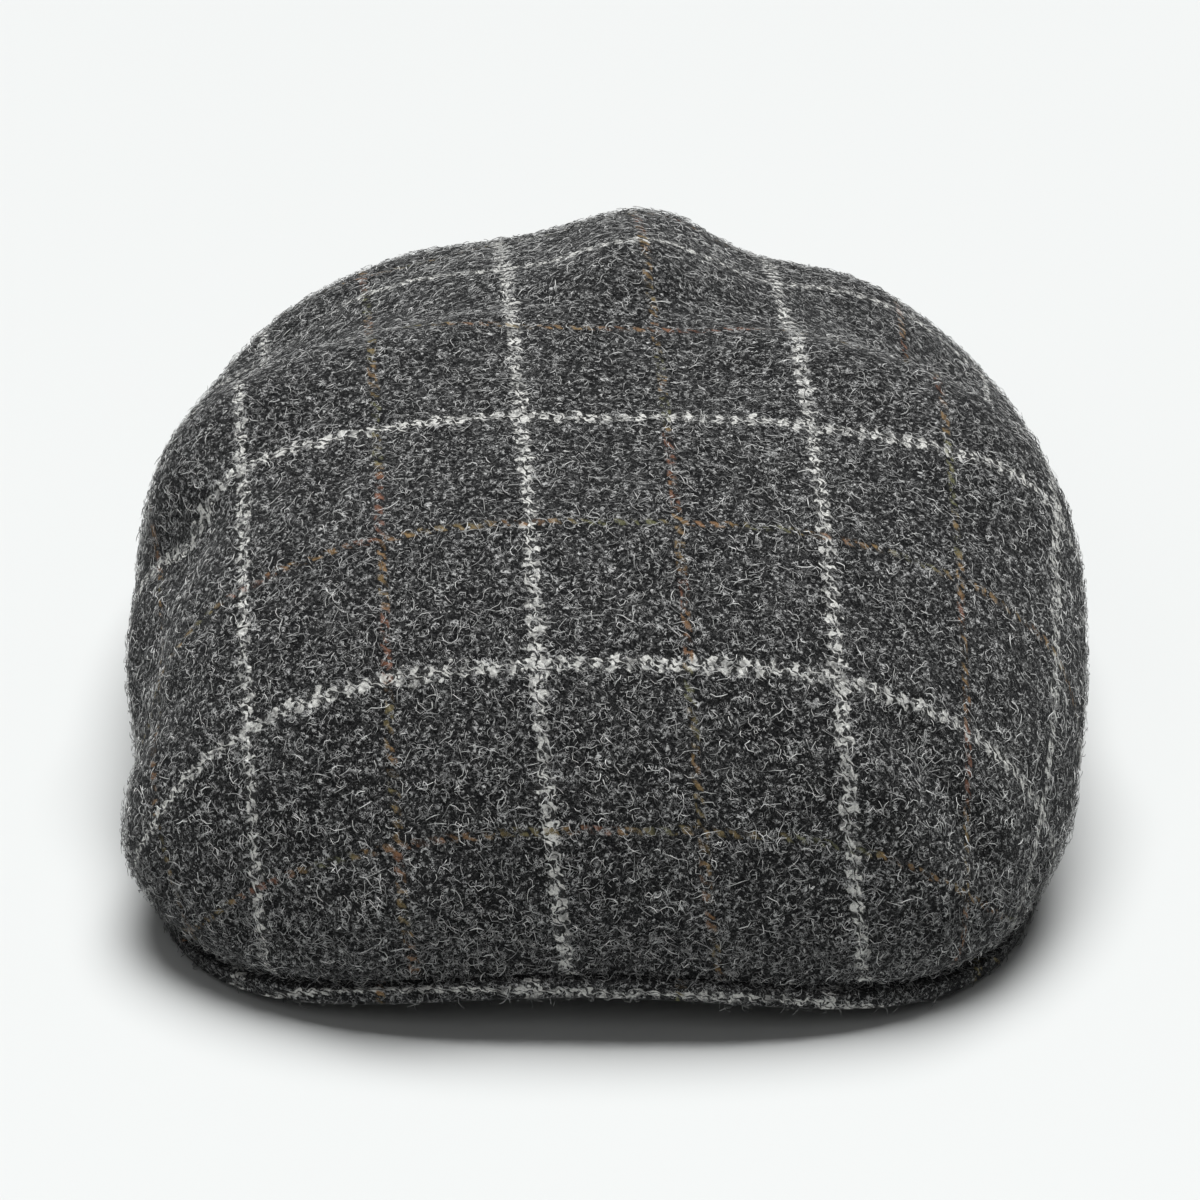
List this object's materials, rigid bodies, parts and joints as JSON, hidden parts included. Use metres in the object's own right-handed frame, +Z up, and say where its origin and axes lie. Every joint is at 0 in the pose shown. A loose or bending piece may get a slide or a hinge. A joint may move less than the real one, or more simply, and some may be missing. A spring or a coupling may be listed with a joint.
{
  "type": "flat cap",
  "caption": "Wool flat cap with a full crown drawn forward and sewn down on a short stiff peak, open below for the head.",
  "frame": {"origin": "on the ground, under the middle of the cap's length and width", "axes": "+Z up, the peak towards -Y, the wearer's left towards +X"},
  "size_m": [0.2045, 0.2712, 0.1019],
  "materials": {
    "tweed": "charcoal wool tweed with a pale windowpane check, milled and hairy",
    "peak_tweed": "the same tweed drawn smooth over a stiff board"
  },
  "bodies": {
    "root": {"crown_top": "tweed", "side_panel_left": "tweed", "side_panel_right": "tweed", "peak": "peak_tweed"}
  },
  "joints": []
}
